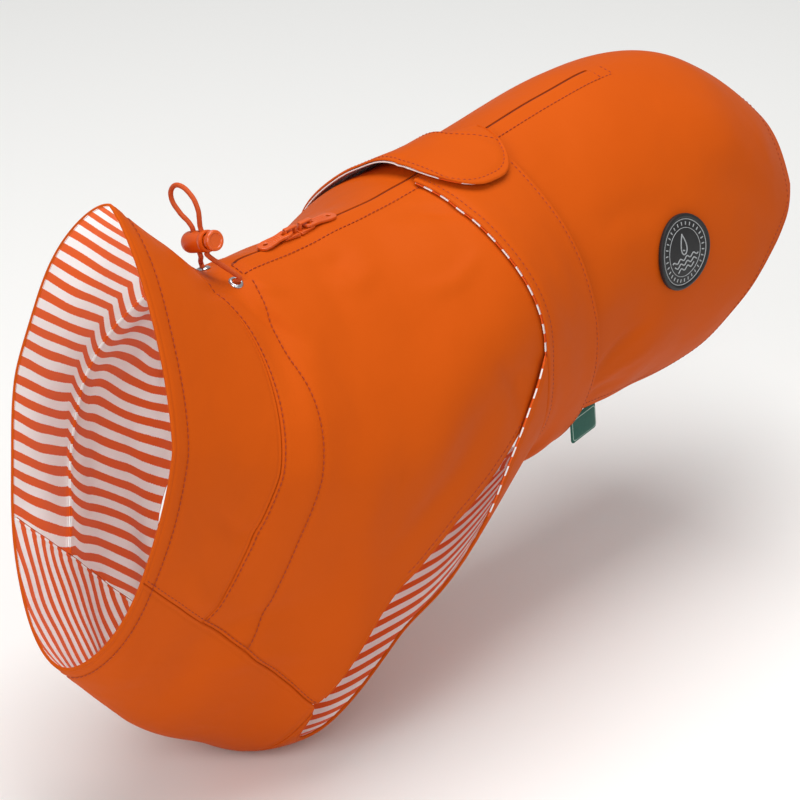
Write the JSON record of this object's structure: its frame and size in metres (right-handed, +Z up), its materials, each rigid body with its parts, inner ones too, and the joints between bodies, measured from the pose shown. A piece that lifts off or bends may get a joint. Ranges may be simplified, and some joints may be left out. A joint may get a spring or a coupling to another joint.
{
  "type": "dog raincoat",
  "caption": "Step-in dog raincoat, filled out and empty: stand collar, saddle, chest and belly pieces, closed belt, spine zip with pull tabs, drawcord with cord lock.",
  "frame": {"origin": "on the back seam half way along the coat, where the wearer's back carries it", "axes": "+X towards the tail (the dog faces -X), -Y towards the dog's left flank with the badge, +Z up"},
  "size_m": [0.517, 0.174, 0.3285],
  "materials": {
    "cloth": "coated, slightly glossy orange cloth",
    "lining": "orange and off-white striped lining",
    "plastic": "orange moulded plastic",
    "eyelet_steel": "plated steel",
    "cord": "braided elastic cord",
    "badge_rubber": "matt black rubber",
    "label_weave": "woven green label"
  },
  "bodies": {
    "coat": {"collar": "cloth", "saddle": "cloth", "rear_panel": "cloth", "chest_panel": "cloth", "belly_panel": "cloth", "belt_near": "cloth", "belt_far": "cloth", "zip_tape": "cloth", "collar_lining": "lining", "saddle_lining": "lining", "rear_lining": "lining", "chest_lining": "lining", "belly_lining": "lining", "belt_near_lining": "lining", "belt_far_lining": "lining", "slider_front": "plastic", "slider_rear": "plastic", "toggle_barrel": "plastic", "eyelet_near": "eyelet_steel", "eyelet_far": "eyelet_steel", "drawcord": "cord", "badge": "badge_rubber", "side_label": "label_weave"},
    "front_pull_tab": {"pull_front": "plastic"},
    "rear_pull_tab": {"pull_rear": "plastic"},
    "cord_lock_plunger": {"toggle_plunger": "plastic"}
  },
  "joints": [
    {"name": "front_pull_hinge", "type": "hinge", "parent": "coat", "child": "front_pull_tab", "pos_m": [-0.0812, 0, 0.00128], "axis": [0, 1, 0], "range_deg": [0, 100]},
    {"name": "rear_pull_hinge", "type": "hinge", "parent": "coat", "child": "rear_pull_tab", "pos_m": [-0.0688, 0, 0.00132], "axis": [0, -1, 0], "range_deg": [0, 100]},
    {"name": "plunger_slide", "type": "slide", "parent": "coat", "child": "cord_lock_plunger", "axis": [0.0601, 0.9309, -0.3603], "range_m": [0, 0.002], "stiffness_N_per_m": 400}
  ]
}
